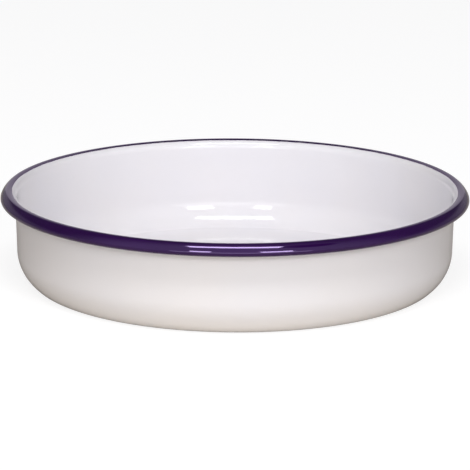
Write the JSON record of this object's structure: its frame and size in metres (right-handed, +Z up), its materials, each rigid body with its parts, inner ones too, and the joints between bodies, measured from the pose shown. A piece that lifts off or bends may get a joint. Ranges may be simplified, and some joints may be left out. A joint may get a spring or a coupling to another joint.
{
  "type": "pie dish",
  "caption": "Round enamelled steel pie dish with upright walls, rounded corners, a flat base and a rolled blue rim.",
  "frame": {"origin": "centre of the underside, on the surface that the dish stands on", "axes": "+Z up along the dish's axis, out of its open mouth; X and Y are level and alike"},
  "size_m": [0.3, 0.3, 0.06],
  "materials": {
    "steel": "low-carbon enamelling steel, pickled grey, hidden under the enamel",
    "ground_enamel": "dark blue-black ground coat, glossy, seen only inside the rolled rim",
    "white_enamel": "glossy white vitreous enamel with a faint orange peel",
    "blue_enamel": "glossy dark violet-blue vitreous enamel"
  },
  "bodies": {
    "root": {"steel_pressing": "steel", "ground_coat": "ground_enamel", "white_inside_enamel": "white_enamel", "white_base_enamel": "white_enamel", "white_wall_enamel": "white_enamel", "blue_rim_enamel": "blue_enamel"}
  },
  "joints": []
}
